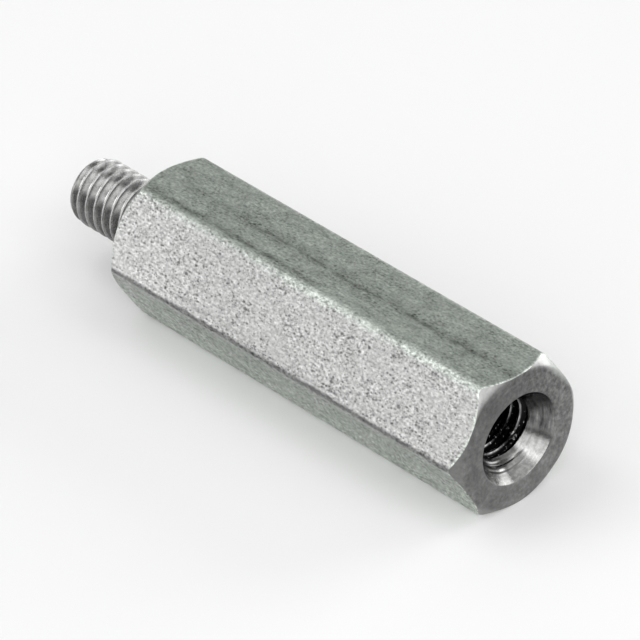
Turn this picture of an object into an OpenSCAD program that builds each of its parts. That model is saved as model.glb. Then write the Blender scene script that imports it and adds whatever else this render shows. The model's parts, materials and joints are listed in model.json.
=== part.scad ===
// Hex standoff, male to female: a length of hexagon bar, turned at one end to a threaded stud
// and drilled, countersunk and tapped in the other. It is one piece.
// It lies on one flat with its axis along X and the tapped end towards +X. The origin is on the
// surface that it lies on, under the middle of its whole length. Sizes are in millimetres.
// Both threads are drawn plain: the stud at the size over its thread, the hole at its drill size.

/* [Hexagon bar] */
// Width across the flats
across_flats = 6; // [5:0.1:8]
// Length of the hexagon, from the shoulder to the open end
body_length = 20; // [15:0.5:40]
// Radius of the six drawn corners of the bar
corner_radius = 0.36; // [0.1:0.02:0.6]

/* [End chamfers] */
// Angle between a chamfer and its end face
chamfer_angle = 45; // [30:1:60]
// How far the flat ring of the open end stops short of the flats
open_face_inset = 0.03; // [0.01:0.01:0.3]
// How far the flat ring of the shoulder stops short of the flats
shoulder_face_inset = 0.06; // [0.01:0.01:0.3]

/* [Tapped hole] */
// Diameter of the drilled hole, at the crests of its thread
bore_d = 2.56; // [2.4:0.02:2.7]
// Depth of the hole at full diameter, from the open end
bore_depth = 13.5; // [8:0.5:14]
// Angle of the drill point at the end of the hole
drill_point_angle = 118; // [90:1:140]
// Diameter of the countersink at the open end
countersink_d = 3.96; // [3:0.02:4.6]
// Angle of the countersink, from side to side
countersink_angle = 70; // [60:1:100]

/* [Threaded stud] */
// Diameter over the thread
stud_d = 2.94; // [2.8:0.02:3.2]
// Length from the shoulder to the tip
stud_length = 4.35; // [3:0.05:10]
// Length of the lead-in chamfer at the tip
tip_chamfer = 0.32; // [0.1:0.02:0.6]
// How far the tip's flat end is set in from the diameter over the thread
tip_inset = 0.16; // [0.05:0.01:0.4]

/* [Hidden] */

// Facets of a full turn
turn_steps = 96;
// How far a cutter or a joined root passes the face it crosses
pass = 1;
// How far a corner's arc laps over its flats, so that they cross instead of only touching
arc_lap = 0.001;

axis_height = across_flats / 2;
overall_length = stud_length + body_length;
shoulder_x = stud_length - overall_length / 2;
corner_centre_r = (across_flats / 2 - corner_radius) / cos(30);
corner_r = corner_centre_r + corner_radius + arc_lap;
bore_r = bore_d / 2;

// The bar's section: a hexagon whose corners are cut back to arcs that run into the flats
module rounded_hexagon() {
    cut_x = corner_centre_r + corner_radius * cos(30);
    difference() {
        circle(across_flats / 2 / cos(30), $fn = 6);
        for (i = [0:5])
            rotate(60 * i)
                difference() {
                    translate([cut_x, -corner_radius]) square([corner_radius, 2 * corner_radius]);
                    translate([corner_centre_r, 0]) circle(corner_radius + arc_lap, $fn = turn_steps);
                }
    }
}

// The space inside both turned chamfers: only the bar's corners reach out of it
module chamfer_envelope() {
    reach_r = corner_r + pass;
    shoulder_r = across_flats / 2 - shoulder_face_inset;
    open_r = across_flats / 2 - open_face_inset;
    shoulder_fall = (reach_r - shoulder_r) * tan(chamfer_angle);
    open_fall = (reach_r - open_r) * tan(chamfer_angle);
    rotate_extrude($fn = turn_steps)
        polygon([
            [0, 0],
            [shoulder_r, 0],
            [reach_r, shoulder_fall],
            [reach_r, body_length - open_fall],
            [open_r, body_length],
            [0, body_length]
        ]);
}

// The bar with its corners turned off at both ends, which leaves a curved edge on each flat
module hexagon_body() {
    intersection() {
        linear_extrude(body_length) rounded_hexagon();
        chamfer_envelope();
    }
}

// The stud, which stands square on the shoulder and has a chamfered tip
module stud() {
    stud_r = stud_d / 2;
    rotate_extrude($fn = turn_steps)
        polygon([
            [0, pass],
            [stud_r, pass],
            [stud_r, tip_chamfer - stud_length],
            [stud_r - tip_inset, -stud_length],
            [0, -stud_length]
        ]);
}

// The cutter for the blind hole: countersink, bore and drill point
module tapped_hole() {
    flare = tan(countersink_angle / 2);
    countersink_depth = (countersink_d / 2 - bore_r) / flare;
    point_depth = bore_r / tan(drill_point_angle / 2);
    rotate_extrude($fn = turn_steps)
        polygon([
            [0, body_length + pass],
            [countersink_d / 2 + pass * flare, body_length + pass],
            [bore_r, body_length - countersink_depth],
            [bore_r, body_length - bore_depth],
            [0, body_length - bore_depth - point_depth]
        ]);
}

// The whole piece, made upright on its shoulder and then laid down on a flat
module standoff() {
    color("#9a9f9a")
        translate([shoulder_x, 0, axis_height])
            rotate([90, 0, 90])
                difference() {
                    union() {
                        hexagon_body();
                        stud();
                    }
                    tapped_hole();
                }
}

standoff();
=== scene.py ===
"""Looks of a male-to-female hex standoff: drawn hexagon bar, turned ends, cut threads and a studio."""
import json
import math
from collections import namedtuple

import bmesh
import bpy
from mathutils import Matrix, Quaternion, Vector


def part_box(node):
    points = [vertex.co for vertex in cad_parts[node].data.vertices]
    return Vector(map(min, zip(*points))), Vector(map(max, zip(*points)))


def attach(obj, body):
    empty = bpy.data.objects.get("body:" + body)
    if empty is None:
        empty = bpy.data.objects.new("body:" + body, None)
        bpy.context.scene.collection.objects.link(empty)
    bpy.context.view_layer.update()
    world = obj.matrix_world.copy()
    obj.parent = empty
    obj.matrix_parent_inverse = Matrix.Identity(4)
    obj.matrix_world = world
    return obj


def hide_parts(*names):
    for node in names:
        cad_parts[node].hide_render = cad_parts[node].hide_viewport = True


bl_info = {
    "name": "Hex standoff",
    "version": (1, 0, 0),
    "blender": (4, 5, 0),
    "location": "View3D > Sidebar > Standoff",
    "description": "Dresses a male-to-female hex standoff and sets up its studio",
    "category": "Object",
}

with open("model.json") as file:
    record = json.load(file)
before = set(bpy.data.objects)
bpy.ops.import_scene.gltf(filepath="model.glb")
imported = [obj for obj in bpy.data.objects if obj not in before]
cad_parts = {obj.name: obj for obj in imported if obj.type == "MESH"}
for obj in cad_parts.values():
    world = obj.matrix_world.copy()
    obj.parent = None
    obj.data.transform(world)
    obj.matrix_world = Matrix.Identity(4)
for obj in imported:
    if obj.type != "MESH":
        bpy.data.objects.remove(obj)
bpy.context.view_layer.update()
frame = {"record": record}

MM = 0.001
NODE = "standoff"
PIECE = "turned_standoff"
LOW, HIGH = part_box(NODE)
MOUNTS = {mount["name"]: mount for mount in frame["record"]["mounts"]}
AXIS_Z = MOUNTS["stud"]["pos_m"][2]
SHOULDER_X = MOUNTS["shoulder_face"]["pos_m"][0]
OPEN_X = MOUNTS["open_face"]["pos_m"][0]
TIP_X = LOW.x
STUD_R = MOUNTS["stud"]["dims"]["r_mm"] * MM
BORE_R = MOUNTS["tapped_hole"]["dims"]["r_mm"] * MM
HALF_ACROSS_FLATS = (HIGH.z - LOW.z) / 2

# Sides of the bar, and the turn from one corner to the next in degrees
SIDES = 6
CORNER_TURN = 60

# How finely the surfaces are divided
ARC_STEPS = 10
FLAT_STEPS = 24
EDGE_STEPS = 3
BODY_ROWS = 8
TURN_STEPS = 144
STUD_ROWS_PER_PITCH = 16
HOLE_ROWS_PER_PITCH = 10
# Rows of a thread's grid that lie on its crest, and the turns that the grid has to spare at each end
CREST_ROWS = 2
SPARE_TURNS = 2
# Points closer than the first become one, and edges shorter than the second are taken out
WELD = 1e-6
SLIVER = 0.1 * WELD
# How near to its plane the rim of an open end lies
RIM_TOLERANCE = 10 * WELD
# Faces that meet at a larger angle have a sharp edge between them
SHARP_ANGLE = math.radians(35)
# How much the larger faces count in the even shading
FACE_WEIGHT = 100
# Share of a thread's depth over which its root is rounded
ROOT_SOFTNESS = 0.4
# Largest share of a chamfer's slant that the soft edge at one end of it may take
EDGE_SHARE = 0.45

# A point of the bar's section, with the marks of the skin there; its tone is painted shade
SkinPoint = namedtuple("SkinPoint", "y z polish pale tone")
# Finishes of the bar's skin, in the order of its material slots
BAR_FINISHES = ("drawn_flats", "turned_end")
# How bright each flat was left by the drawing die, from the upper back one round over the top
FLAT_POLISH = (0.75, 0.0, 1.0, 0.33, 0.3, 0.1)
# Painted shade of each flat's skin, at its first and at its last edge: the lower flats are painted darker,
# the one in view most at its upper edge
FLAT_PAINTED_SHADE = ((1.0, 1.0), (1.0, 1.0), (1.0, 1.0), (0.80, 1.07), (0.86, 0.86), (0.9, 0.9))
# How pale each corner is painted: rubbed wear, and on the corner between the top flat and the bright flat
# also a painted highlight
PALE_CORNERS = (0.3, 0.2, 1.0, 0.0, 0.5, 0.3)
# How far the bright rubbing of a flat fades past its corner, and how wide a pale corner is
POLISH_FADE = 0.42 * MM
PALE_REACH = 0.36 * MM
# How pale the broken edges at the ends of the flats are painted: wear, and a painted highlight along the
# edges
EDGE_WEAR_AND_HIGHLIGHT = 1.0
# Ends of the bar where the pale skin is worn evenly: where that starts, where it is full, how strong it is
WORN_ENDS = ((5 * MM, 8 * MM, 0.85), (-6.6 * MM, -7.4 * MM, 0.6))
# How far below the axis the lower flats' own grain and their painted shade are full
LOWER_FADE = 0.4 * MM

# Dark streaks along the upper flat, in millimetres: faint bands and their thin broken cores
Streak = namedtuple("Streak", "across half_width start end")
STREAK_BANDS = (Streak(-0.12, 0.55, -7.5, 15.0), Streak(-1.3, 0.32, -10.0, 3.5))
STREAK_CORES = (Streak(-0.22, 0.19, -3.5, 15.0), Streak(-1.28, 0.2, -10.0, 3.5))
# Length over which a streak sets in, in millimetres, and how far it wanders
STREAK_FADE = 2.0
STREAK_WANDER = 0.5 * MM

# Dark line along the corners at half height: half its width, how far it wanders to and fro,
# and how far it rises above the corner away from the shoulder
DARK_LINE_REACH = 0.17 * MM
DARK_LINE_WANDER = 0.2 * MM
DARK_LINE_RISE = 0.045 * MM

# Roughness of the end faces, and the radii over which their finish runs into that of the chamfers:
# its start, its end, and its end on the far side
END_ROUGHNESS = 0.42
RIM_START = HALF_ACROSS_FLATS - 0.12 * MM
RIM_END = HALF_ACROSS_FLATS + 0.26 * MM
FAR_RIM_END = HALF_ACROSS_FLATS + 0.06 * MM
# How much further in the bright rim at the upper back starts
GLARE_REACH = 0.22 * MM

# Middle of the patch in the hole that the tap scuffed, and how far it reaches
SCUFF = (10.45 * MM, 0.82 * MM, 2.02 * MM)
SCUFF_REACH = 0.95 * MM
# Outermost ring that the countersink chattered into the lower side of its wall, and the rings' spacing
CHATTER_R = 1.65 * MM
CHATTER_STEP = 0.1 * MM

# Share of a pit that is its floor, and how many more and how much fainter the fine pits are
PIT_FLOOR = 0.3
FINE_PITS = 1.7
FINE_PIT_STRENGTH = 0.75

# Noises of the finishes: their scale is in waves per metre, and three numbers stretch it along the axes
Noise = namedtuple("Noise", "scale detail roughness")
# Drawn skin: patches of denser grain, clouds, and the ragged border of the bright flats
GRAIN_PATCHES = Noise(1100.0, 3.0, 0.6)
CLOUDS = Noise(2600.0, 3.0, 0.6)
RAGGED_BORDER = Noise(1700.0, 4.0, 0.65)
# Drawn skin: worn patches of the corners, finer grain of the lower flats, and fine lines along the bar
WORN_PATCHES = Noise((450.0, 900.0, 900.0), 3.0, 0.6)
LOWER_GRAIN = Noise((13000.0, 6000.0, 6000.0), 1.0, 0.5)
DRAW_LINES = Noise((120.0, 4000.0, 4000.0), 3.0, 0.6)
# Streaks and the dark line along the corners: how they wander, the gaps in a streak and the scratches beside
# the line
STREAK_WAVES = Noise((480.0, 10.0, 10.0), 3.0, 0.65)
STREAK_GAPS = Noise((900.0, 3000.0, 3000.0), 3.0, 0.65)
DARK_LINE_WAVES = Noise((500.0, 10.0, 10.0), 4.0, 0.7)
LINE_SCRATCHES = Noise((150.0, 4500.0, 4500.0), 3.0, 0.6)
# Turned metal: its mottling, blotches on the end faces, and painted glints of specks in the hole
TURNED_MOTTLE = Noise(5000.0, 3.0, 0.65)
FACE_BLOTCHES = Noise(1500.0, 4.0, 0.65)
HOLE_GLINT_SPECKS = Noise((6000.0, 9000.0, 9000.0), 2.0, 0.5)

# Panels of light, by the name of their brightness: their place in degrees and metres, and their size
LightPanel = namedtuple("LightPanel", "azimuth elevation distance width height")
PANELS = {
    "left_panel": LightPanel(-22, 25, 0.40, 0.46, 0.37),
    "corner_panel": LightPanel(-66, 58, 0.50, 0.32, 0.30),
    "rear_panel": LightPanel(-133, 36, 0.50, 0.40, 0.36),
    "right_panel": LightPanel(44, 33, 0.50, 0.30, 0.37),
    "side_panel": LightPanel(82, 41, 0.50, 0.34, 0.24),
    "right_strip": LightPanel(116, 13, 0.50, 0.32, 0.20),
    "back_panel": LightPanel(165, 18, 0.45, 0.26, 0.29),
    "backdrop": LightPanel(-148, 8, 0.45, 0.30, 0.12),
    "top_panel": LightPanel(127, 57, 0.60, 0.44, 0.40),
    "overhead_panel": LightPanel(0, 88, 0.50, 0.32, 0.32),
}
# Half the width of the floor, the width of the camera's sensor in millimetres, and where its view starts
FLOOR_REACH = 20.0
SENSOR_WIDTH = 36.0
CLIP_START = 0.01


# Properties

class StandoffSizes(bpy.types.PropertyGroup):
    """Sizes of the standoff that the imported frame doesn't give"""

    corner_radius: bpy.props.FloatProperty(
        name="Corner radius", description="Radius of the six drawn corners",
        default=0.357 * MM, unit="LENGTH", precision=5)
    edge_reach: bpy.props.FloatProperty(
        name="Edge softness", description="How far the broken edges reach into their faces",
        default=0.035 * MM, unit="LENGTH", precision=5)
    face_edge_reach: bpy.props.FloatProperty(
        name="End face softness", description="How far the rounded rims of the end faces reach",
        default=0.16 * MM, unit="LENGTH", precision=5)
    chamfer_angle: bpy.props.FloatProperty(
        name="Chamfer angle", description="Angle between an end chamfer and its end face",
        default=math.radians(45), unit="ROTATION")
    open_face_inset: bpy.props.FloatProperty(
        name="Open face inset", description="How far the open end's ring stops short of the flats",
        default=0.03 * MM, unit="LENGTH", precision=5)
    shoulder_face_inset: bpy.props.FloatProperty(
        name="Shoulder inset", description="How far the shoulder's ring stops short of the flats",
        default=0.06 * MM, unit="LENGTH", precision=5)
    countersink_radius: bpy.props.FloatProperty(
        name="Countersink radius", description="Radius of the countersink at the open end",
        default=1.98 * MM, unit="LENGTH", precision=5)
    countersink_half_angle: bpy.props.FloatProperty(
        name="Countersink half angle", description="Angle between the countersink's wall and the axis",
        default=math.radians(35), unit="ROTATION")
    bore_depth: bpy.props.FloatProperty(
        name="Bore depth", description="Depth of the hole at full diameter",
        default=13.5 * MM, unit="LENGTH", precision=5)
    drill_half_angle: bpy.props.FloatProperty(
        name="Drill point half angle", description="Angle between the drill point's wall and the axis",
        default=math.radians(59), unit="ROTATION")
    tip_chamfer: bpy.props.FloatProperty(
        name="Tip chamfer", description="Length of the lead-in at the stud's tip",
        default=0.32 * MM, unit="LENGTH", precision=5)
    tip_inset: bpy.props.FloatProperty(
        name="Tip inset", description="How far the tip's end is set in from the thread",
        default=0.16 * MM, unit="LENGTH", precision=5)
    pitch: bpy.props.FloatProperty(
        name="Pitch", description="Distance between two turns of either thread",
        default=0.5 * MM, unit="LENGTH", precision=5)
    stud_thread_depth: bpy.props.FloatProperty(
        name="Stud thread depth", description="Depth of the grooves cut into the stud",
        default=0.3 * MM, unit="LENGTH", precision=5)
    stud_run_out: bpy.props.FloatProperty(
        name="Stud run-out", description="Length over which the stud's thread fades at the shoulder",
        default=0.6 * MM, unit="LENGTH", precision=5)
    hole_thread_depth: bpy.props.FloatProperty(
        name="Hole thread depth", description="Depth of the grooves tapped into the hole",
        default=0.23 * MM, unit="LENGTH", precision=5)
    hole_thread_length: bpy.props.FloatProperty(
        name="Hole thread length", description="Depth from the open end to which the hole is tapped",
        default=11.0 * MM, unit="LENGTH", precision=5)
    stud_phase: bpy.props.FloatProperty(
        name="Stud thread phase", description="Part of a turn by which the stud's thread starts later",
        default=0.31)
    hole_phase: bpy.props.FloatProperty(
        name="Hole thread phase", description="Part of a turn by which the hole's thread starts later",
        default=0.57)


class StandoffFinish(bpy.types.PropertyGroup):
    """Colours of the finishes"""

    dull_flat: bpy.props.FloatVectorProperty(
        name="Dull flats", description="Colour of the drawn flats that kept their dull skin",
        default=(0.425, 0.468, 0.422), size=3, subtype="COLOR")
    bright_flat: bpy.props.FloatVectorProperty(
        name="Bright flats", description="Colour of the drawn flats that were rubbed bright",
        default=(0.51, 0.51, 0.505), size=3, subtype="COLOR")
    # Partly wear and partly painted highlight, on the corners and at the back of the chamfers
    pale_wear_and_highlight: bpy.props.FloatVectorProperty(
        name="Pale corners", description="Colour of the corners that were rubbed pale",
        default=(0.7, 0.745, 0.7), size=3, subtype="COLOR")
    # The end faces' dark colour is partly their own matt turned finish and partly painted shade for the
    # shaded floor they mirror
    end_face: bpy.props.FloatVectorProperty(
        name="End faces", description="Colour of the faced rings at both ends",
        default=(0.215, 0.215, 0.212), size=3, subtype="COLOR")
    chamfer: bpy.props.FloatVectorProperty(
        name="Chamfers", description="Colour of the turned chamfers",
        default=(0.38, 0.38, 0.376), size=3, subtype="COLOR")
    countersink: bpy.props.FloatVectorProperty(
        name="Countersink", description="Colour of the countersink",
        default=(0.28, 0.28, 0.276), size=3, subtype="COLOR")
    thread: bpy.props.FloatVectorProperty(
        name="Threads", description="Colour of the stud's thread and of the crests in the hole",
        default=(0.72, 0.72, 0.714), size=3, subtype="COLOR")
    # Painted shade: the near black of the hole's grooves
    hole_groove_shade: bpy.props.FloatVectorProperty(
        name="Hole grooves", description="Colour of the oily grooves in the tapped hole",
        default=(0.012, 0.012, 0.012), size=3, subtype="COLOR")
    # Painted glints: bright specks on the hole's dark walls
    speck_glint: bpy.props.FloatVectorProperty(
        name="Specks", description="Colour of the bright specks that the tap left in the hole",
        default=(0.65, 0.65, 0.65), size=3, subtype="COLOR")


class StandoffStage(bpy.types.PropertyGroup):
    """The camera, the light and the floor"""

    azimuth: bpy.props.FloatProperty(
        name="Camera azimuth", description="Turn of the camera round the object, from the front",
        default=math.radians(47.03), unit="ROTATION")
    elevation: bpy.props.FloatProperty(
        name="Camera elevation", description="Height of the camera as an angle",
        default=math.radians(35.075), unit="ROTATION")
    roll: bpy.props.FloatProperty(
        name="Camera roll", description="Tilt of the camera about its own line of sight",
        default=math.radians(-1.149), unit="ROTATION")
    distance: bpy.props.FloatProperty(
        name="Camera distance", description="Distance from the camera to the point it aims at",
        default=222.83 * MM, unit="LENGTH")
    aim: bpy.props.FloatVectorProperty(
        name="Aim", description="The point that the camera looks at",
        default=(1.145 * MM, 0.0, 3.071 * MM), size=3, subtype="TRANSLATION")
    lens: bpy.props.FloatProperty(
        name="Lens", description="Focal length on a 36 mm sensor", default=318.86, unit="CAMERA")
    floor: bpy.props.FloatVectorProperty(
        name="Floor", description="Colour of the floor",
        default=(0.93, 0.93, 0.93), size=3, subtype="COLOR")
    room: bpy.props.FloatVectorProperty(
        name="Room", description="Colour of the light that comes from all round",
        default=(0.13, 0.13, 0.13), size=3, subtype="COLOR")
    left_panel: bpy.props.FloatProperty(
        name="Left panel", description="Brightness of the panel at the front left", default=1.22)
    corner_panel: bpy.props.FloatProperty(
        name="Corner panel", description="Brightness of the panel high up at the left", default=1.7)
    rear_panel: bpy.props.FloatProperty(
        name="Rear panel", description="Brightness of the panel at the rear left", default=0.5)
    right_panel: bpy.props.FloatProperty(
        name="Right panel", description="Brightness of the panel beside the camera", default=2.4)
    side_panel: bpy.props.FloatProperty(
        name="Side panel", description="Brightness of the panel at the right", default=1.8)
    right_strip: bpy.props.FloatProperty(
        name="Right strip", description="Brightness of the low strip at the right", default=1.2)
    backdrop: bpy.props.FloatProperty(
        name="Backdrop", description="Brightness of the low strip behind, at the left", default=0.8)
    back_panel: bpy.props.FloatProperty(
        name="Back panel", description="Brightness of the panel behind", default=3.0)
    top_panel: bpy.props.FloatProperty(
        name="Top panel", description="Brightness of the panel high up at the back", default=0.87)
    overhead_panel: bpy.props.FloatProperty(
        name="Overhead panel", description="Brightness of the panel straight above", default=0.8)


# Node helpers

def put(tree, socket, value):
    """Links an output to a socket, or sets the socket's own value."""
    if isinstance(value, bpy.types.NodeSocket):
        tree.links.new(value, socket)
    else:
        socket.default_value = value


def fill(tree, node, values):
    """Links or sets a node's inputs by name."""
    for label, value in values.items():
        put(tree, node.inputs[label], value)


def calc(tree, operation, *values):
    """One Math node; gives its output."""
    node = tree.nodes.new("ShaderNodeMath")
    node.operation = operation
    for socket, value in zip(node.inputs, values):
        put(tree, socket, value)
    return node.outputs[0]


def product(tree, first, *others):
    """Several values multiplied together."""
    for other in others:
        first = calc(tree, "MULTIPLY", first, other)
    return first


def clamp01(tree, value):
    """A value held between 0 and 1."""
    return calc(tree, "MINIMUM", calc(tree, "MAXIMUM", value, 0.0), 1.0)


def distance_to(tree, value, centre):
    """How far a value is from a centre, to either side."""
    return calc(tree, "ABSOLUTE", calc(tree, "SUBTRACT", value, centre))


def axes_of(tree, vector):
    """The three parts of a vector."""
    split = tree.nodes.new("ShaderNodeSeparateXYZ")
    put(tree, split.inputs[0], vector)
    return tuple(split.outputs)


def new_group(name, kind, inputs, outputs):
    """A node group with named sockets; gives the tree, its inputs by name and its output node."""
    tree = bpy.data.node_groups.new(name, kind)
    for label, socket_type, default in inputs:
        socket = tree.interface.new_socket(label, in_out="INPUT", socket_type=socket_type)
        if default is not None:
            socket.default_value = default
    for label, socket_type in outputs:
        tree.interface.new_socket(label, in_out="OUTPUT", socket_type=socket_type)
    given = {socket.name: socket for socket in tree.nodes.new("NodeGroupInput").outputs}
    return tree, given, tree.nodes.new("NodeGroupOutput")


# Thread by geometry nodes

THREAD_TREE = "Thread along an axis"
THREAD_INPUTS = (
    ("Columns", "NodeSocketInt", TURN_STEPS),
    ("Rows", "NodeSocketInt", 200),
    ("Row spacing", "NodeSocketFloat", None),
    ("Axis height", "NodeSocketFloat", None),
    ("Start", "NodeSocketFloat", None),
    ("Direction", "NodeSocketFloat", 1.0),
    ("Length", "NodeSocketFloat", None),
    ("Radius", "NodeSocketFloat", None),
    ("Side", "NodeSocketFloat", 1.0),
    ("Pitch", "NodeSocketFloat", None),
    ("Depth", "NodeSocketFloat", None),
    ("Crest", "NodeSocketFloat", 0.125),
    ("Phase", "NodeSocketFloat", 0.0),
    ("Thread end", "NodeSocketFloat", None),
    ("Run-out", "NodeSocketFloat", None),
    ("Lead depth", "NodeSocketFloat", None),
    ("Lead length", "NodeSocketFloat", None),
    ("Finish", "NodeSocketMaterial", None),
)


def thread_tree():
    """A threaded tube: a grid whose rows lie along the helix, rolled up and pressed into the thread's form.

    Distance runs from the lead end. Side is -1 for a stud, whose grooves go in, and 1 for a hole."""
    tree, value, result = new_group(
        THREAD_TREE, "GeometryNodeTree", THREAD_INPUTS, (("Geometry", "NodeSocketGeometry"),))
    grid = tree.nodes.new("GeometryNodeMeshGrid")
    fill(tree, grid, {"Size X": 1.0, "Size Y": 1.0,
                      "Vertices X": calc(tree, "ADD", value["Columns"], 1.0),
                      "Vertices Y": calc(tree, "ADD", value["Rows"], 1.0)})
    across, onward, _ = axes_of(tree, tree.nodes.new("GeometryNodeInputPosition").outputs[0])
    turn = calc(tree, "ADD", across, 0.5)
    row = product(tree, calc(tree, "ADD", onward, 0.5), value["Rows"])

    # Each row starts its spare turns before the lead end and moves on by one pitch in a turn
    advance = product(tree, calc(tree, "SUBTRACT", turn, value["Phase"]), value["Direction"], value["Pitch"])
    along = product(tree, row, value["Row spacing"])
    along = calc(tree, "SUBTRACT", along, product(tree, value["Pitch"], SPARE_TURNS))
    along = calc(tree, "MAXIMUM", calc(tree, "ADD", along, advance), 0.0)
    along = calc(tree, "MINIMUM", along, value["Length"])

    # Groove: flat crest, straight flanks at 60 degrees to each other, rounded root
    phase = calc(tree, "DIVIDE", product(tree, along, value["Direction"]), value["Pitch"])
    phase = calc(tree, "FRACT", calc(tree, "ADD", calc(tree, "SUBTRACT", phase, turn), value["Phase"]))
    half_groove = calc(tree, "SUBTRACT", 0.5, product(tree, value["Crest"], 0.5))
    into_flank = calc(tree, "SUBTRACT", half_groove, distance_to(tree, phase, 0.5))
    sharp = product(tree, calc(tree, "MAXIMUM", into_flank, 0.0), value["Pitch"], math.sqrt(3))
    softness = product(tree, value["Depth"], ROOT_SOFTNESS)
    groove = calc(tree, "SMOOTH_MIN", sharp, value["Depth"], softness)

    # The thread fades where the tool ran out, and the lead-in cone cuts across its crests
    fade = calc(tree, "DIVIDE", calc(tree, "SUBTRACT", value["Thread end"], along), value["Run-out"])
    cut = product(tree, groove, clamp01(tree, fade))
    lead = calc(tree, "SUBTRACT", 1.0, calc(tree, "DIVIDE", along, value["Lead length"]))
    lead = product(tree, calc(tree, "MAXIMUM", lead, 0.0), value["Lead depth"])
    cut = calc(tree, "MAXIMUM", cut, lead)
    radius = calc(tree, "ADD", value["Radius"], product(tree, cut, value["Side"]))

    angle = product(tree, turn, math.tau)
    rise = product(tree, radius, calc(tree, "SINE", angle))
    spot = tree.nodes.new("ShaderNodeCombineXYZ")
    fill(tree, spot, {"X": calc(tree, "ADD", value["Start"], product(tree, along, value["Direction"])),
                      "Y": product(tree, radius, calc(tree, "COSINE", angle)),
                      "Z": calc(tree, "ADD", value["Axis height"], rise)})
    move = tree.nodes.new("GeometryNodeSetPosition")
    fill(tree, move, {"Geometry": grid.outputs["Mesh"], "Position": spot.outputs[0]})
    weld = tree.nodes.new("GeometryNodeMergeByDistance")
    fill(tree, weld, {"Geometry": move.outputs["Geometry"], "Distance": WELD})
    realize = tree.nodes.new("GeometryNodeRealizeInstances")
    fill(tree, realize, {"Geometry": weld.outputs["Geometry"]})
    cover = tree.nodes.new("GeometryNodeSetMaterial")
    fill(tree, cover, {"Geometry": realize.outputs["Geometry"], "Material": value["Finish"]})
    fill(tree, result, {"Geometry": cover.outputs["Geometry"]})
    return tree


def threaded_tube(name, length, pitch, rows_per_pitch, values):
    """An object whose plain mesh is the thread tree's result: a tube on the axis, with values of its own."""
    spacing = pitch / rows_per_pitch
    inputs = {"Columns": TURN_STEPS, "Rows": math.ceil((length + 2 * SPARE_TURNS * pitch) / spacing),
              "Row spacing": spacing, "Axis height": AXIS_Z, "Length": length, "Pitch": pitch,
              "Crest": CREST_ROWS / rows_per_pitch, **values}
    tree = bpy.data.node_groups.get(THREAD_TREE) or thread_tree()
    maker = bpy.data.objects.new(name + "_maker", bpy.data.meshes.new(name + "_maker"))
    bpy.context.scene.collection.objects.link(maker)
    modifier = maker.modifiers.new("Thread", "NODES")
    modifier.node_group = tree
    for item in tree.interface.items_tree:
        if item.item_type == "SOCKET" and item.in_out == "INPUT" and item.name in inputs:
            modifier[item.identifier] = inputs[item.name]
    graph = bpy.context.evaluated_depsgraph_get()
    graph.update()
    mesh = bpy.data.meshes.new_from_object(maker.evaluated_get(graph))
    bpy.data.objects.remove(maker)
    bpy.context.scene.collection.objects.link(bpy.data.objects.new(name, mesh))


# Materials

def shader_tree(name):
    """A new material with only its Principled shader and output; gives material, tree and shader."""
    material = bpy.data.materials.new(name)
    material.use_nodes = True
    tree = material.node_tree
    return material, tree, tree.nodes["Principled BSDF"]


def object_place(tree):
    """The point's place on the piece, in metres."""
    return tree.nodes.new("ShaderNodeTexCoord").outputs["Object"]


def about_axis(tree, place):
    """A place along the bar's axis, across it and up from it."""
    x, y, z = axes_of(tree, place)
    return x, y, calc(tree, "SUBTRACT", z, AXIS_Z)


def noise(tree, vector, kind):
    """Noise of one kind at a place."""
    scale = kind.scale
    if isinstance(scale, tuple):
        mapping = tree.nodes.new("ShaderNodeMapping")
        fill(tree, mapping, {"Scale": scale, "Vector": vector})
        vector = mapping.outputs[0]
        scale = 1.0
    node = tree.nodes.new("ShaderNodeTexNoise")
    fill(tree, node, {"Vector": vector, "Scale": scale, "Detail": kind.detail, "Roughness": kind.roughness})
    return node.outputs["Fac"]


def swing(tree, vector, kind):
    """Noise of one kind that swings about 0."""
    return calc(tree, "SUBTRACT", noise(tree, vector, kind), 0.5)


def span(tree, value, low, high, to_low=0.0, to_high=1.0, smooth=True):
    """Maps one range to another, held at both ends."""
    node = tree.nodes.new("ShaderNodeMapRange")
    node.interpolation_type = "SMOOTHSTEP" if smooth else "LINEAR"
    fill(tree, node, {"Value": value, "From Min": low, "From Max": high,
                      "To Min": to_low, "To Max": to_high})
    return node.outputs["Result"]


def one_plus(tree, value, gain):
    """One and a share of a value, as a factor for a tone."""
    return calc(tree, "MULTIPLY_ADD", value, gain, 1.0)


def toned(tree, tone, mask, gain):
    """A tone made lighter by a gain where a mask is 1, or darker where the gain is negative."""
    return product(tree, tone, one_plus(tree, mask, gain))


def mix_colour(tree, factor, first, second):
    """Mixes two colours."""
    node = tree.nodes.new("ShaderNodeMix")
    node.data_type = "RGBA"
    put(tree, node.inputs["Factor"], factor)
    for socket, value in ((node.inputs[6], first), (node.inputs[7], second)):
        put(tree, socket, value if isinstance(value, bpy.types.NodeSocket) else (*value, 1.0))
    return node.outputs[2]


def shade(tree, colour, factor):
    """A colour made darker or lighter by a factor."""
    node = tree.nodes.new("ShaderNodeVectorMath")
    node.operation = "SCALE"
    put(tree, node.inputs[0], colour)
    put(tree, node.inputs["Scale"], factor)
    return node.outputs[0]


def base_colour(shader):
    """The colour that a shader already has."""
    return shader.inputs["Base Color"].links[0].from_socket


def tint(tree, shader, factor):
    """Scales the colour that a shader already has."""
    fill(tree, shader, {"Base Color": shade(tree, base_colour(shader), factor)})


def mark(tree, shader, mask, gain):
    """Makes a shader's colour lighter by a gain where a mask is 1, or darker where the gain is negative."""
    tint(tree, shader, one_plus(tree, mask, gain))


def bump(tree, height, distance, strength):
    """A normal bent by a height map."""
    node = tree.nodes.new("ShaderNodeBump")
    fill(tree, node, {"Strength": strength, "Distance": distance, "Height": height})
    return node.outputs[0]


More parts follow.
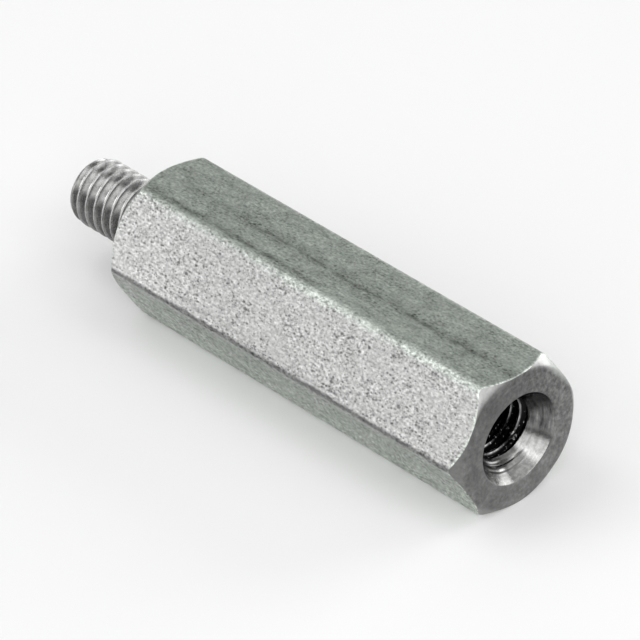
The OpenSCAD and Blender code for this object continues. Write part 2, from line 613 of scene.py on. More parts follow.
def attribute(tree, name):
    """A value stored on the mesh."""
    node = tree.nodes.new("ShaderNodeAttribute")
    node.attribute_name = name
    return node.outputs["Fac"]


def place_group(tree, group, values):
    """A group placed in a tree with its own values; gives its outputs by name."""
    node = tree.nodes.new("ShaderNodeGroup")
    node.node_tree = group
    fill(tree, node, values)
    return {socket.name: socket for socket in node.outputs}


def shader_group(name, inputs, outputs):
    """A shader node group that takes a place and some numbers, and gives numbers."""
    taken = [("Place", "NodeSocketVector", None)]
    taken += [(label, "NodeSocketFloat", value) for label, value in inputs]
    return new_group(name, "ShaderNodeTree", taken, [(label, "NodeSocketFloat") for label in outputs])


def pit_field(tree, vector, scale, share):
    """Round pits of mixed size, one at most in each cell; share scales their size."""
    cells = tree.nodes.new("ShaderNodeTexVoronoi")
    fill(tree, cells, {"Vector": vector, "Scale": scale})
    first, second, _ = axes_of(tree, cells.outputs["Color"])
    reach = product(tree, first, second, share)
    return span(tree, cells.outputs["Distance"], reach, product(tree, reach, PIT_FLOOR))


def pitted_grain_group():
    """Grain of a drawn skin, a little stretched along the bar: patchy mottling, clouds and dark pits."""
    tree, value, result = shader_group(
        "Pitted grain", (("Grain", 9000.0), ("Pits", 6500.0)), ("Mottle", "Cloud", "Pit", "Height"))
    drawn = tree.nodes.new("ShaderNodeMapping")
    fill(tree, drawn, {"Scale": (0.65, 1.0, 1.0), "Vector": value["Place"]})
    place = drawn.outputs[0]
    patches = noise(tree, place, GRAIN_PATCHES)
    mottle = swing(tree, place, Noise(value["Grain"], detail=2.0, roughness=0.6))
    mottle = product(tree, mottle, span(tree, patches, 0.35, 0.65, 0.8, 1.2))
    share = span(tree, patches, 0.35, 0.65, 0.65, 1.1)
    coarse = pit_field(tree, place, value["Pits"], share)
    fine = pit_field(tree, place, product(tree, value["Pits"], FINE_PITS), share)
    pit = calc(tree, "MAXIMUM", coarse, product(tree, fine, FINE_PIT_STRENGTH))
    fill(tree, result, {"Mottle": mottle, "Pit": pit,
                        "Cloud": swing(tree, place, CLOUDS),
                        "Height": calc(tree, "SUBTRACT", mottle, product(tree, pit, 0.6))})
    return tree


def turning_marks_group():
    """Fine rings left by a lathe tool round the axis, with slow changes of tone between them."""
    tree, value, result = shader_group(
        "Turning marks", (("Axis height", 0.0), ("Rings", 20000.0)), ("Ring", "Mottle", "Radius"))
    along, across, height = axes_of(tree, value["Place"])
    up = calc(tree, "SUBTRACT", height, value["Axis height"])
    square = calc(tree, "ADD", product(tree, across, across), product(tree, up, up))
    radius = calc(tree, "SQRT", square)
    round_place = tree.nodes.new("ShaderNodeCombineXYZ")
    fill(tree, round_place, {"X": along, "Y": radius,
                             "Z": product(tree, calc(tree, "ARCTAN2", up, across), 0.25 * MM)})
    rings = swing(tree, round_place.outputs[0], Noise(value["Rings"], detail=2.0, roughness=0.6))
    mottle = swing(tree, value["Place"], TURNED_MOTTLE)
    fill(tree, result, {"Ring": rings, "Mottle": mottle, "Radius": radius})
    return tree


def pale_mask(tree, place, x, up, ragged):
    """Where the corners and the broken edges are painted pale, as wear and as painted highlight: in patches,
    and less under the bar.
    """
    patches = noise(tree, place, WORN_PATCHES)
    worn = span(tree, patches, 0.35, 0.62, 0.35, 1.0)
    worn = product(tree, worn, span(tree, x, -8 * MM, 4 * MM, 0.45, 1.0))
    for start, full, strength in WORN_ENDS:
        worn = calc(tree, "MAXIMUM", worn, span(tree, x, start, full, 0.0, strength))
    worn = product(tree, worn, span(tree, up, -0.3 * MM, 0.0, 0.35, 1.0), 0.9)
    broken = span(tree, ragged, -0.25, 0.05, 0.45, 1.25)
    return clamp01(tree, product(tree, attribute(tree, "pale"), broken, worn))


def draw_streak(tree, along, across, wander, streak):
    """Mask of one dark streak that follows the bar and wanders a little."""
    off = calc(tree, "SUBTRACT", across, streak.across * MM)
    off = calc(tree, "ABSOLUTE", calc(tree, "MULTIPLY_ADD", wander, STREAK_WANDER, off))
    begin = span(tree, along, streak.start * MM, (streak.start + STREAK_FADE) * MM)
    finish = span(tree, along, streak.end * MM, (streak.end - STREAK_FADE) * MM)
    return product(tree, span(tree, off, streak.half_width * MM, 0.0), begin, finish)


def draw_streaks(tree, place, x, y, up):
    """Masks of the faint bands on the upper flat and of the thin broken cores in them."""
    wander = swing(tree, place, STREAK_WAVES)
    upper = span(tree, up, HALF_ACROSS_FLATS - 0.1 * MM, HALF_ACROSS_FLATS - 0.03 * MM)
    masks = []
    for first, second in (STREAK_BANDS, STREAK_CORES):
        mask = calc(tree, "MAXIMUM", draw_streak(tree, x, y, wander, first),
                    draw_streak(tree, x, y, wander, second))
        masks.append(product(tree, mask, upper))
    band, core = masks
    gaps = noise(tree, place, STREAK_GAPS)
    return band, product(tree, core, span(tree, gaps, 0.4, 0.62))


def dark_corner_line(tree, tone, place, x, up, ragged):
    """A tone with a dark line along the corners at half height, and scratches above it.

    Near the shoulder a light line runs beside the dark one."""
    wander = swing(tree, place, DARK_LINE_WAVES)
    off = calc(tree, "SUBTRACT", up, span(tree, x, -7 * MM, -3 * MM, 0.0, DARK_LINE_RISE))
    off = calc(tree, "MULTIPLY_ADD", wander, DARK_LINE_WANDER, off)
    dark = span(tree, calc(tree, "ABSOLUTE", off), DARK_LINE_REACH, 0.03 * MM)
    dark = product(tree, dark, span(tree, ragged, -0.2, 0.1, 0.6, 1.0))
    light = span(tree, distance_to(tree, off, DARK_LINE_REACH), 0.07 * MM, 0.0)
    light = product(tree, light, span(tree, x, -6 * MM, -1 * MM, 1.0, 0.0))
    above = product(tree, span(tree, up, 0.7 * MM, 0.2 * MM), span(tree, up, 0.0, 0.1 * MM))
    scratch = swing(tree, place, LINE_SCRATCHES)
    tone = toned(tree, tone, product(tree, scratch, above), gain=1.2)
    tone = toned(tree, tone, light, gain=0.3)
    tone = toned(tree, tone, above, gain=span(tree, x, -6 * MM, -2 * MM, -0.05, -0.1))
    return toned(tree, tone, dark, gain=-0.62)


def drawn_flats_material(finish, grain_group):
    """Drawn hexagon bar: dull greenish skin, rubbed bright on some flats, with pits and draw streaks."""
    material, tree, shader = shader_tree("drawn_flats")
    place = object_place(tree)
    x, y, up = about_axis(tree, place)
    grain = place_group(tree, grain_group, {"Place": place, "Grain": 10000.0, "Pits": 8500.0})

    # Where the bright flats stop, with a ragged border along the corners
    ragged = swing(tree, place, RAGGED_BORDER)
    polish = span(tree, calc(tree, "MULTIPLY_ADD", ragged, 1.5, attribute(tree, "polish")), 0.2, 0.7)
    # Pale corners and edges: wear and painted highlight
    pale = pale_mask(tree, place, x, up, ragged)
    colour = mix_colour(tree, polish, finish.dull_flat, finish.bright_flat)
    colour = mix_colour(tree, pale, colour, finish.pale_wear_and_highlight)

    def dull_to_bright(dull, bright):
        return span(tree, polish, 0.0, 1.0, dull, bright, smooth=False)

    # Grain everywhere; the lower flats have more, and painted shade makes them darker under the corner and
    # at the shoulder
    lower = span(tree, up, 0.0, -LOWER_FADE)
    mottle = product(tree, grain["Mottle"], one_plus(tree, lower, 0.4))
    tone = one_plus(tree, mottle, dull_to_bright(1.7, 2.1))
    tone = calc(tree, "MULTIPLY_ADD", grain["Cloud"], dull_to_bright(1.1, 0.25), tone)
    fine = swing(tree, place, LOWER_GRAIN)
    tone = calc(tree, "MULTIPLY_ADD", product(tree, fine, lower), 1.8, tone)
    # Painted shade: darker just under the corner and towards the shoulder
    lower_painted_shade = calc(tree, "ADD", span(tree, up, -0.3 * MM, -2.2 * MM, -0.07, 0.04),
               span(tree, x, -8 * MM, -4 * MM, -0.08, 0.0))
    tone = toned(tree, tone, lower, gain=lower_painted_shade)
    # The stored tone is painted shade that darkens the lower flats
    tone = product(tree, tone, attribute(tree, "tone"))
    tone = toned(tree, tone, product(tree, polish, span(tree, x, -1 * MM, -7 * MM)), gain=0.12)

    # Pits where the flat is bright or a streak runs, then the streaks and fine lines along the bar
    band, core = draw_streaks(tree, place, x, y, up)
    pitted = calc(tree, "MAXIMUM", dull_to_bright(0.25, 0.62), product(tree, band, 0.6))
    pits = product(tree, grain["Pit"], pitted, one_plus(tree, pale, -0.6))
    tone = toned(tree, tone, pits, gain=-1.0)
    lines = swing(tree, place, DRAW_LINES)
    tone = toned(tree, tone, lines, gain=0.14)
    tone = toned(tree, tone, band, gain=-0.19)
    tone = toned(tree, tone, core, gain=-0.42)
    tone = dark_corner_line(tree, tone, place, x, up, ragged)

    rough = calc(tree, "MULTIPLY_ADD", attribute(tree, "pale"), 0.22, 0.42)
    fill(tree, shader, {"Base Color": shade(tree, colour, tone), "Metallic": 1.0,
                        "Roughness": calc(tree, "MULTIPLY_ADD", grain["Pit"], 0.1, rough),
                        "Normal": bump(tree, grain["Height"], 0.003 * MM, strength=0.6)})
    return material


def turned_material(name, colour, marks_group, roughness, rings, ring_gain, mottle_gain, depth):
    """Turned metal with fine rings and a mottled tone."""
    material, tree, shader = shader_tree(name)
    marks = place_group(
        tree, marks_group, {"Place": object_place(tree), "Axis height": AXIS_Z, "Rings": rings})
    tone = toned(tree, one_plus(tree, marks["Ring"], ring_gain), marks["Mottle"], mottle_gain)
    fill(tree, shader, {"Base Color": shade(tree, tuple(colour), tone), "Metallic": 1.0,
                        "Roughness": calc(tree, "MULTIPLY_ADD", marks["Mottle"], 0.12, roughness),
                        "Normal": bump(tree, marks["Ring"], depth, strength=0.6)})
    return material, tree, shader, marks


def turned_end_material(finish, marks_group):
    """Faced ring, blotched and with painted shade on its upper side, that runs into a lighter chamfer over
    its rim.
    """
    material, tree, shader, marks = turned_material(
        "turned_end", finish.end_face, marks_group, roughness=END_ROUGHNESS,
        rings=9000.0, ring_gain=0.35, mottle_gain=1.2, depth=0.001 * MM)
    place = object_place(tree)
    x, y, up = about_axis(tree, place)
    # Painted shade: the ring is darker on its upper side and lighter below
    tint(tree, shader, span(tree, up, -HALF_ACROSS_FLATS, HALF_ACROSS_FLATS, 1.25, 0.72, smooth=False))
    mark(tree, shader, swing(tree, place, FACE_BLOTCHES), gain=1.2)
    speckle = product(tree, marks["Mottle"], span(tree, y, -1.0 * MM, 1.5 * MM),
                      span(tree, up, -HALF_ACROSS_FLATS, HALF_ACROSS_FLATS, 0.1, 1.0))
    mark(tree, shader, speckle, gain=1.8)
    # Painted light: the shoulder's ring is painted lighter than the open end's, for the stud to mirror
    tint(tree, shader, span(tree, x, SHOULDER_X + 2 * MM, OPEN_X - 2 * MM, 2.6, 1.0))

    # The chamfer, with a painted highlight at the back, where its rim also reaches further in, and painted
    # shade at the front
    glare = product(tree, span(tree, y, 1.3 * MM, 2.0 * MM), span(tree, up, 1.0 * MM, 1.8 * MM))
    rim = span(tree, marks["Radius"], calc(tree, "MULTIPLY_ADD", glare, -GLARE_REACH, RIM_START),
               span(tree, y, 1.0 * MM, 1.9 * MM, RIM_END, FAR_RIM_END))
    # Painted highlight: the chamfer turns pale at the back
    rubbed = span(tree, y, 1.3 * MM, 2.1 * MM, 0.0, 0.45)
    chamfer = mix_colour(tree, rubbed, finish.chamfer, finish.pale_wear_and_highlight)
    chamfer = shade(tree, chamfer, one_plus(tree, marks["Mottle"], 0.5))
    # Painted shade: the chamfer is darker at the front
    chamfer = shade(tree, chamfer, span(tree, y, LOW.y, LOW.y + 1.5 * MM, 0.62, 1.0))
    fill(tree, shader, {"Base Color": mix_colour(tree, rim, base_colour(shader), chamfer),
                        "Roughness": calc(tree, "MULTIPLY_ADD", rim, -0.14, END_ROUGHNESS)})
    tint(tree, shader, span(tree, y, LOW.y, HIGH.y, 0.81, 0.92, smooth=False))
    return material


def cut_thread_material(finish, marks_group):
    """Cut thread with painted shade in its grooves, strongest underneath and none on the upper front, and
    painted shade and light across its sides.
    """
    material, tree, shader, marks = turned_material(
        "cut_thread", finish.thread, marks_group, roughness=0.27,
        rings=9000.0, ring_gain=0.4, mottle_gain=0.9, depth=0.002 * MM)
    x, y, up = about_axis(tree, object_place(tree))
    high = calc(tree, "DIVIDE", up, STUD_R)
    back = calc(tree, "DIVIDE", y, STUD_R)
    groove = span(tree, calc(tree, "SUBTRACT", STUD_R, marks["Radius"]), 0.02 * MM, 0.1 * MM)
    # Painted shade in the grooves: full on the lower side, faint at the top, partial at the back
    thread_groove_shade = calc(tree, "MAXIMUM", span(tree, high, 0.65, 0.3), span(tree, high, 0.92, 0.75, 0.0, 0.27))
    thread_groove_shade = calc(tree, "MAXIMUM", thread_groove_shade, span(tree, back, -0.35, 0.0, 0.0, 0.66))
    mark(tree, shader, product(tree, groove, thread_groove_shade), gain=-0.68)
    # Painted shade and light: crests darker at the front, the lower side darker, the back lighter near the
    # shoulder and darker further out
    crest = product(tree, span(tree, back, -0.45, -0.05, 0.67, 1.0), span(tree, back, -0.98, -0.8, 0.9, 1.0))
    tint(tree, shader, span(tree, groove, 0.0, 1.0, crest, 1.0))
    tint(tree, shader, span(tree, high, 0.1, -0.35, 1.0, 0.76))
    rear = span(tree, x, SHOULDER_X - 1.2 * MM, SHOULDER_X - 0.3 * MM, 0.88, 1.2)
    tint(tree, shader, span(tree, back, 0.1, 0.45, 1.0, rear))
    return material


def countersink_marks(tree, shader, marks, y, up):
    """Marks on the countersink's wall: painted shade on its upper side, with rings, and on the lower side
    chatter, a painted dark ring and a painted highlight.
    """
    # Painted shade: the wall is darker above, most on its upper side
    tint(tree, shader, span(tree, up, -1.5 * MM, -0.5 * MM, 1.0, 0.62))
    tint(tree, shader, span(tree, up, 0.0, 0.9 * MM, 1.0, 0.42))
    mark(tree, shader, product(tree, marks["Ring"], span(tree, up, -0.9 * MM, -0.3 * MM)), gain=2.2)

    low = span(tree, up, -0.7 * MM, -1.2 * MM)
    off = calc(tree, "SUBTRACT", marks["Radius"], CHATTER_R)
    # Painted shade: a dark ring at the outermost chatter ring, towards the front
    long_ring = product(tree, low, span(tree, calc(tree, "ABSOLUTE", off), 0.03 * MM, 0.008 * MM),
                        span(tree, y, 0.9 * MM, 0.5 * MM), span(tree, marks["Mottle"], -0.2, 0.1, 0.3, 1.0))
    mark(tree, shader, long_ring, gain=-0.4)
    rings = calc(tree, "PINGPONG", off, CHATTER_STEP / 2)
    chattered = product(tree, low, span(tree, y, 0.1 * MM, -0.4 * MM), span(tree, off, 0.05 * MM, 0.02 * MM))
    mark(tree, shader, chattered, gain=span(tree, rings, 0.005 * MM, 0.042 * MM, -0.6, 0.0))
    # Painted highlight: a light ring beside the chatter, at the front
    glint = span(tree, distance_to(tree, off, -CHATTER_STEP / 2), 0.045 * MM, 0.02 * MM)
    mark(tree, shader, product(tree, low, glint, span(tree, y, -0.2 * MM, -0.5 * MM)), gain=1.2)
    lip = product(tree, low, span(tree, marks["Radius"], 1.5 * MM, 1.4 * MM),
                  span(tree, distance_to(tree, y, 0.2 * MM), 0.7 * MM, 0.3 * MM))
    mark(tree, shader, lip, gain=-0.42)


def scuffed_patch(tree, place):
    """Mask of the patch in the hole that the tap scuffed."""
    away = tree.nodes.new("ShaderNodeVectorMath")
    away.operation = "DISTANCE"
    put(tree, away.inputs[0], place)
    away.inputs[1].default_value = SCUFF
    return span(tree, away.outputs["Value"], SCUFF_REACH, 0.4 * SCUFF_REACH)


def tapped_hole_material(finish, sizes, marks_group):
    """Countersunk and tapped hole: turned cone, then grooves with painted shade under crests that stayed
    bright, and painted glints.
    """
    material, tree, shader, marks = turned_material(
        "tapped_hole", finish.countersink, marks_group, roughness=0.23,
        rings=8000.0, ring_gain=0.9, mottle_gain=1.3, depth=0.003 * MM)
    place = object_place(tree)
    x, y, up = about_axis(tree, place)
    countersink_marks(tree, shader, marks, y, up)

    # How deep the surface lies under the plain cone and bore, and where the bore begins
    flare = math.tan(sizes.countersink_half_angle)
    cone_end = OPEN_X - (sizes.countersink_radius - BORE_R) / flare
    cone_r = calc(tree, "MULTIPLY_ADD", calc(tree, "SUBTRACT", x, cone_end), flare, BORE_R)
    sunk = calc(tree, "SUBTRACT", marks["Radius"], calc(tree, "MAXIMUM", cone_r, BORE_R))
    inside = span(tree, x, cone_end + 0.05 * MM, cone_end - 0.05 * MM)

    scuffed = scuffed_patch(tree, place)
    crest = shade(tree, tuple(finish.thread), span(tree, marks["Mottle"], -0.15, 0.15, 0.3, 0.8))
    crest = shade(tree, crest, one_plus(tree, scuffed, -0.93))
    thread = mix_colour(tree, inside, base_colour(shader), crest)
    # Painted shade in the hole's grooves, and in the thread's groove on the cone towards the front
    hole_shade_share = calc(tree, "MAXIMUM", inside, span(tree, y, -0.6 * MM, 0.2 * MM, 0.7, 0.1))
    hole_shade_share = product(tree, hole_shade_share, span(tree, sunk, 0.015 * MM, 0.09 * MM))
    thread = mix_colour(tree, hole_shade_share, thread, finish.hole_groove_shade)
    # Painted glints: bright specks in the hole, more of them in the scuffed patch
    specks = noise(tree, place, HOLE_GLINT_SPECKS)
    specks = span(tree, calc(tree, "MULTIPLY_ADD", scuffed, 0.09, specks), 0.685, 0.74)
    thread = mix_colour(tree, product(tree, specks, inside), thread, finish.speck_glint)
    fill(tree, shader, {"Base Color": thread})
    return material


def finishes():
    """All finishes by name, made once."""
    names = (*BAR_FINISHES, "cut_thread", "tapped_hole")
    if not all(name in bpy.data.materials for name in names):
        finish = bpy.context.scene.standoff_finish
        marks = turning_marks_group()
        drawn_flats_material(finish, pitted_grain_group())
        turned_end_material(finish, marks)
        cut_thread_material(finish, marks)
        tapped_hole_material(finish, bpy.context.scene.standoff_sizes, marks)
    return {name: bpy.data.materials[name] for name in names}


# The bar's skin

def blend(first, last, share):
    """A value part of the way from one to another."""
    return first * (1 - share) + last * share


def skin_marks(corner, gap):
    """How bright and how pale the skin is at a distance past a corner's crown."""
    share = min(max(0.5 + gap / (2 * POLISH_FADE), 0.0), 1.0)
    share = share * share * (3 - 2 * share)
    pale = PALE_CORNERS[corner % SIDES] * max(0.0, 1 - abs(gap) / PALE_REACH)
    return blend(FLAT_POLISH[corner - 1], FLAT_POLISH[corner % SIDES], share), pale


def bar_section(sizes):
    """Points round the bar's section, each with the marks of its skin."""
    inner = HALF_ACROSS_FLATS - sizes.corner_radius
    half_turn = math.radians(CORNER_TURN / 2)
    centre_r = inner / math.cos(half_turn)
    arc = sizes.corner_radius * math.radians(CORNER_TURN)
    flat = 2 * inner * math.tan(half_turn)
    points = []
    for side in range(SIDES):
        middle = math.radians(CORNER_TURN * side)
        centre = Vector((math.cos(middle), math.sin(middle))) * centre_r
        for step in range(ARC_STEPS + 1):
            share = step / ARC_STEPS
            turn = middle + math.radians(CORNER_TURN * share - CORNER_TURN / 2)
            spot = centre + Vector((math.cos(turn), math.sin(turn))) * sizes.corner_radius
            # Painted shade of the flats on either side of the corner, blended over its arc
            tone = blend(FLAT_PAINTED_SHADE[side - 1][1], FLAT_PAINTED_SHADE[side][0], share)
            points.append(SkinPoint(*spot, *skin_marks(side, (share - 0.5) * arc), tone))
        along = Vector((-math.sin(turn), math.cos(turn)))
        for step in range(1, FLAT_STEPS):
            share = step / FLAT_STEPS
            reach = flat * step / FLAT_STEPS
            if reach < flat / 2:
                marks = skin_marks(side, arc / 2 + reach)
            else:
                marks = skin_marks(side + 1, reach - flat - arc / 2)
            points.append(SkinPoint(*(spot + along * reach), *marks, blend(*FLAT_PAINTED_SHADE[side], share)))
    return points


def soft_corner(corner, into, out, reach):
    """Points of a rounded corner in a plane, between two unit directions."""
    start = corner - into * reach
    end = corner + out * reach
    made = []
    for step in range(EDGE_STEPS + 1):
        share = step / EDGE_STEPS
        made.append(start * (1 - share) ** 2 + corner * (2 * share * (1 - share)) + end * share ** 2)
    return made


def end_profile(reach_r, end_x, outward, face_r, sizes):
    """Points (x, r) from an end face over its chamfer to the bar's outside, at one angle."""
    fall = (reach_r - face_r) * math.tan(sizes.chamfer_angle)
    face_edge = Vector((end_x, face_r))
    outer_edge = Vector((end_x - outward * fall, reach_r))
    slant = outer_edge - face_edge
    reach = min(sizes.edge_reach, EDGE_SHARE * slant.length)
    face_reach = min(sizes.face_edge_reach, EDGE_SHARE * slant.length)
    slant.normalize()
    rows = soft_corner(face_edge, Vector((0, 1)), slant, face_reach)
    return rows + soft_corner(outer_edge, slant, Vector((-outward, 0)), reach)


def bar_column(point, sizes):
    """Points along the bar at one point of its section, from the open end to the shoulder."""
    radius = math.hypot(point.y, point.z)
    opened = end_profile(radius, OPEN_X, 1, HALF_ACROSS_FLATS - sizes.open_face_inset, sizes)
    foot = end_profile(radius, SHOULDER_X, -1, HALF_ACROSS_FLATS - sizes.shoulder_face_inset, sizes)
    inset = Vector((sizes.edge_reach, 0.0))
    first, last = opened[-1] - inset, foot[-1] + inset
    middle = [first.lerp(last, step / BODY_ROWS) for step in range(BODY_ROWS + 1)]
    profile = opened + middle + foot[::-1]
    return [(x, point.y * r / radius, AXIS_Z + point.z * r / radius) for x, r in profile]


def ring(x, radius):
    """A full turn of points at one radius, as the threads are divided."""
    turns = (math.tau * step / TURN_STEPS for step in range(TURN_STEPS))
    return [(x, radius * math.cos(turn), AXIS_Z + radius * math.sin(turn)) for turn in turns]


def turn_of(point):
    """Angle of a point about the axis, from 0 to a full turn."""
    return math.atan2(point[2] - AXIS_Z, point[1]) % math.tau


def quads_between(near, far):
    """Quads between two rings of points that have the same count."""
    following = [*range(1, len(near)), 0]
    return [(near[i], near[j], far[j], far[i]) for i, j in enumerate(following)]


def zip_rings(first, second, points):
    """Triangles between two rings of points that have different counts."""
    def ordered(indices):
        angles = sorted((turn_of(points[index]), index) for index in indices)
        return angles + [(angles[0][0] + math.tau, angles[0][1])]
    one, two = ordered(first), ordered(second)
    faces = []
    i = j = 0
    while i < len(one) - 1 or j < len(two) - 1:
        if j == len(two) - 1 or (i < len(one) - 1 and one[i + 1][0] <= two[j + 1][0]):
            faces.append((one[i][1], one[i + 1][1], two[j][1]))
            i += 1
        else:
            faces.append((two[j][1], one[i][1], two[j + 1][1]))
            j += 1
    return faces


def mouth_profile(sizes):
    """Points (x, r) round the countersink's edge, from the end face into the cone."""
    half = sizes.countersink_half_angle
    return soft_corner(Vector((OPEN_X, sizes.countersink_radius)), Vector((0, -1)),
                       Vector((-math.cos(half), -math.sin(half))), sizes.edge_reach)


def store_marks(mesh, section, rows):
    """Stores the marks of the skin, with its painted shade, on its rows of points; the end rings after them
    have none.
    """
    edge_rows = 2 * (EDGE_STEPS + 1)
    pale = []
    for row in range(rows):
        # Pale broken edges at both ends: wear and a painted highlight
        worn = EDGE_WEAR_AND_HIGHLIGHT if min(row, rows - 1 - row) < edge_rows else 0.0
        pale += [max(point.pale, worn) for point in section]
    marks = {"polish": [point.polish for point in section] * rows, "pale": pale,
             "tone": [point.tone for point in section] * rows}
    spare = [0.0] * (len(mesh.vertices) - len(pale))
    for name, values in marks.items():
        layer = mesh.attributes.new(name, "FLOAT", "POINT")
        layer.data.foreach_set("value", values + spare)


class STANDOFF_OT_bar(bpy.types.Operator):
    """Builds the hexagon bar's skin, its chamfers and both end rings"""

    bl_idname = "standoff.bar"
    bl_label = "Hexagon bar"

    def execute(self, context):
        sizes = context.scene.standoff_sizes
        section = bar_section(sizes)
        rows = list(zip(*(bar_column(point, sizes) for point in section)))
        count = len(section)
        points = [point for row in rows for point in row]
        rings = [range(start, start + count) for start in range(0, len(points), count)]
        drawn_finish, turned_finish = range(len(BAR_FINISHES))
        faces, finish = [], []
        for row in range(len(rows) - 1):
            drawn = EDGE_STEPS + 1 <= row < len(rows) - EDGE_STEPS - 2
            faces += quads_between(rings[row], rings[row + 1])
            finish += [drawn_finish if drawn else turned_finish] * count

        # End rings, zipped to the thread's division, with the countersink's soft edge
        turned = []
        for x, r in mouth_profile(sizes) + [Vector((SHOULDER_X, STUD_R))]:
            turned.append(range(len(points), len(points) + TURN_STEPS))
            points += ring(x, r)
        for near, far in zip(turned[:EDGE_STEPS], turned[1:EDGE_STEPS + 1]):
            faces += quads_between(near, far)
        faces += zip_rings(rings[0], turned[0], points)
        faces += zip_rings(rings[-1], turned[-1], points)
        finish += [turned_finish] * (len(faces) - len(finish))

        mesh = bpy.data.meshes.new("bar_skin")
        mesh.from_pydata(points, [], faces)
        looks = finishes()
        for name in BAR_FINISHES:
            mesh.materials.append(looks[name])
        mesh.polygons.foreach_set("material_index", finish)
        store_marks(mesh, section, len(rows))
        context.scene.collection.objects.link(bpy.data.objects.new("bar_skin", mesh))
        return {"FINISHED"}


class STANDOFF_OT_stud_thread(bpy.types.Operator):
    """Cuts the stud's thread, from its chamfered tip to the run-out at the shoulder"""

    bl_idname = "standoff.stud_thread"
    bl_label = "Stud thread"

    def execute(self, context):
        sizes = context.scene.standoff_sizes
        length = SHOULDER_X - TIP_X
        threaded_tube("stud_thread", length, sizes.pitch, STUD_ROWS_PER_PITCH, {
            "Start": TIP_X, "Direction": 1.0, "Radius": STUD_R, "Side": -1.0,
            "Depth": sizes.stud_thread_depth, "Phase": sizes.stud_phase,
            "Thread end": length, "Run-out": sizes.stud_run_out,
            "Lead depth": sizes.tip_inset, "Lead length": sizes.tip_chamfer,
            "Finish": finishes()["cut_thread"]})
        return {"FINISHED"}


class STANDOFF_OT_hole_thread(bpy.types.Operator):
    """Cuts the countersink and the thread of the hole"""

    bl_idname = "standoff.hole_thread"
    bl_label = "Tapped hole"

    def execute(self, context):
        sizes = context.scene.standoff_sizes
        start_x, start_r = mouth_profile(sizes)[-1]
        length = start_x - (OPEN_X - sizes.bore_depth)
        lead_depth = start_r - BORE_R
        threaded_tube("hole_thread", length, sizes.pitch, HOLE_ROWS_PER_PITCH, {
            "Start": start_x, "Direction": -1.0, "Radius": BORE_R, "Side": 1.0,
            "Depth": sizes.hole_thread_depth, "Phase": sizes.hole_phase,
            "Thread end": sizes.hole_thread_length, "Run-out": sizes.pitch,
            "Lead depth": lead_depth, "Lead length": lead_depth / math.tan(sizes.countersink_half_angle),
            "Finish": finishes()["tapped_hole"]})
        return {"FINISHED"}


def close_end(bm, apex, at_x):
    """Closes the open ring at one place along the axis with a fan of triangles to a point."""
    rim = [edge for edge in bm.edges if edge.is_boundary
           and all(abs(vert.co.x - at_x) < RIM_TOLERANCE for vert in edge.verts)]
    if len(rim) < 3:
        raise RuntimeError(f"no open ring at x = {at_x}")
    near = rim[0].link_faces[0]
    tip = bm.verts.new(apex)
    for edge in rim:
        face = bm.faces.new((*edge.verts, tip))
        face.material_index = near.material_index
        face.smooth = True


def close_piece(mesh, sizes):
    """Welds the joined parts, closes the stud's tip and the hole's drill point, and checks the result."""
    bm = bmesh.new()
    bm.from_mesh(mesh)
    bmesh.ops.remove_doubles(bm, verts=bm.verts, dist=WELD)
    bmesh.ops.dissolve_degenerate(bm, edges=bm.edges, dist=SLIVER)
    bottom_x = OPEN_X - sizes.bore_depth
    close_end(bm, (TIP_X, 0.0, AXIS_Z), TIP_X)
    close_end(bm, (bottom_x - BORE_R / math.tan(sizes.drill_half_angle), 0.0, AXIS_Z), bottom_x)
    bmesh.ops.recalc_face_normals(bm, faces=bm.faces)
    open_edges = [edge for edge in bm.edges if not edge.is_manifold]
    if open_edges:
        raise RuntimeError(f"the piece has {len(open_edges)} open edges")
    bm.to_mesh(mesh)
    bm.free()


class STANDOFF_OT_join(bpy.types.Operator):
    """Joins the skin and both threads into one closed piece"""

    bl_idname = "standoff.join"
    bl_label = "Join into one piece"

    def execute(self, context):
        parts = [bpy.data.objects[name] for name in ("bar_skin", "stud_thread", "hole_thread")]
        piece = parts[0]
        with context.temp_override(active_object=piece, object=piece,
                                   selected_objects=parts, selected_editable_objects=parts):
            bpy.ops.object.join()
        piece.name = PIECE
        piece.data.name = PIECE
        close_piece(piece.data, context.scene.standoff_sizes)
        piece.data.polygons.foreach_set("use_smooth", [True] * len(piece.data.polygons))
        piece.data.set_sharp_from_angle(angle=SHARP_ANGLE)
        weighted = piece.modifiers.new("Even shading", "WEIGHTED_NORMAL")
        weighted.keep_sharp = True
        weighted.weight = FACE_WEIGHT
        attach(piece, "root")
        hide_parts(NODE)
        return {"FINISHED"}


# The studio

def direction(azimuth, elevation):
    """Unit vector towards a point seen at an azimuth, from the front, and an elevation."""
    return Vector((math.sin(azimuth) * math.cos(elevation),
                   -math.cos(azimuth) * math.cos(elevation), math.sin(elevation)))


def panel_light(name, panel, brightness):
    """A soft panel of light that faces the object; brightness 1 is seen as white."""
    lamp = bpy.data.lights.new(name, "AREA")
    lamp.shape = "RECTANGLE"
    lamp.size = panel.width
    lamp.size_y = panel.height
    lamp.energy = brightness * math.pi * panel.width * panel.height
    holder = bpy.data.objects.new(name, lamp)
    towards = direction(math.radians(panel.azimuth), math.radians(panel.elevation))
    holder.location = towards * panel.distance
    holder.rotation_mode = "QUATERNION"
    holder.rotation_quaternion = towards.to_track_quat("Z", "Y")
    holder.visible_camera = False
    bpy.context.scene.collection.objects.link(holder)


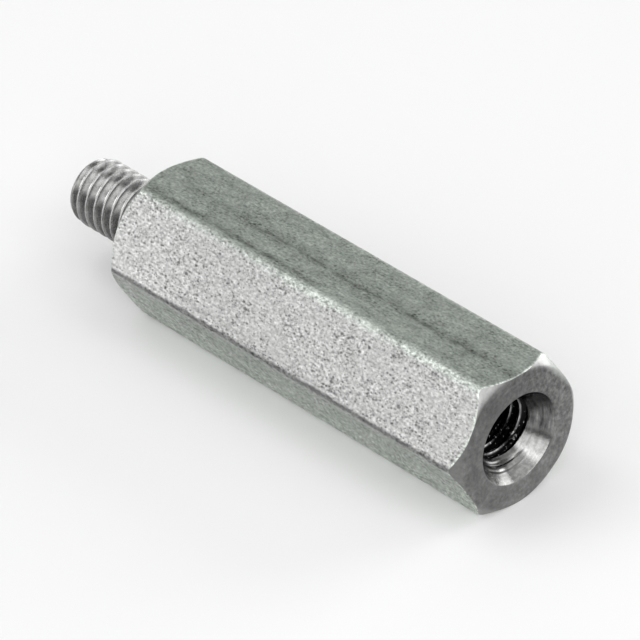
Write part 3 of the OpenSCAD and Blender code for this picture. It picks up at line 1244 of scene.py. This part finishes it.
def pale_floor(colour):
    """A matt floor under the object."""
    mesh = bpy.data.meshes.new("floor")
    corners = [(-FLOOR_REACH, -FLOOR_REACH, 0), (FLOOR_REACH, -FLOOR_REACH, 0),
               (FLOOR_REACH, FLOOR_REACH, 0), (-FLOOR_REACH, FLOOR_REACH, 0)]
    mesh.from_pydata(corners, [], [(0, 1, 2, 3)])
    material, tree, shader = shader_tree("pale_floor")
    fill(tree, shader, {"Base Color": (*colour, 1.0), "Roughness": 1.0, "Specular IOR Level": 0.0})
    mesh.materials.append(material)
    floor = bpy.data.objects.new("floor", mesh)
    bpy.context.scene.collection.objects.link(floor)


def place_camera(stage):
    """The camera, on its line of sight to the point it aims at."""
    camera = bpy.data.objects.new("camera", bpy.data.cameras.new("camera"))
    camera.data.lens = stage.lens
    camera.data.sensor_width = SENSOR_WIDTH
    camera.data.clip_start = CLIP_START
    towards = direction(stage.azimuth, stage.elevation)
    camera.location = Vector(stage.aim) + towards * stage.distance
    camera.rotation_mode = "QUATERNION"
    camera.rotation_quaternion = towards.to_track_quat("Z", "Y") @ Quaternion((0, 0, 1), stage.roll)
    bpy.context.scene.collection.objects.link(camera)
    bpy.context.scene.camera = camera


class STANDOFF_OT_stage(bpy.types.Operator):
    """Sets the floor, the light and the camera"""

    bl_idname = "standoff.stage"
    bl_label = "Studio"

    def execute(self, context):
        stage = context.scene.standoff_stage
        pale_floor(stage.floor)
        world = bpy.data.worlds.new("studio")
        world.use_nodes = True
        world.node_tree.nodes["Background"].inputs["Color"].default_value = (*stage.room, 1.0)
        context.scene.world = world
        for name, panel in PANELS.items():
            panel_light(name, panel, getattr(stage, name))
        place_camera(stage)
        context.scene.view_settings.view_transform = "Standard"
        return {"FINISHED"}


class STANDOFF_PT_panel(bpy.types.Panel):
    """Lists the standoff's sizes, finishes and steps"""

    bl_idname = "STANDOFF_PT_panel"
    bl_label = "Hex standoff"
    bl_space_type = "VIEW_3D"
    bl_region_type = "UI"
    bl_category = "Standoff"

    def draw(self, context):
        for name, cls in GROUPS.items():
            box = self.layout.box()
            for setting in cls.__annotations__:
                box.prop(getattr(context.scene, name), setting)
        for operator in OPERATORS:
            self.layout.operator(operator.bl_idname)


GROUPS = {
    "standoff_sizes": StandoffSizes,
    "standoff_finish": StandoffFinish,
    "standoff_stage": StandoffStage,
}
OPERATORS = (
    STANDOFF_OT_bar,
    STANDOFF_OT_stud_thread,
    STANDOFF_OT_hole_thread,
    STANDOFF_OT_join,
    STANDOFF_OT_stage,
)


def register():
    for cls in (*GROUPS.values(), *OPERATORS, STANDOFF_PT_panel):
        bpy.utils.register_class(cls)
    for name, cls in GROUPS.items():
        setattr(bpy.types.Scene, name, bpy.props.PointerProperty(type=cls))


def unregister():
    for name in GROUPS:
        delattr(bpy.types.Scene, name)
    for cls in (STANDOFF_PT_panel, *reversed(OPERATORS), *reversed(GROUPS.values())):
        bpy.utils.unregister_class(cls)


def main():
    register()
    bpy.ops.standoff.bar()
    bpy.ops.standoff.stud_thread()
    bpy.ops.standoff.hole_thread()
    bpy.ops.standoff.join()
    bpy.ops.standoff.stage()


if __name__ == "__main__":
    main()
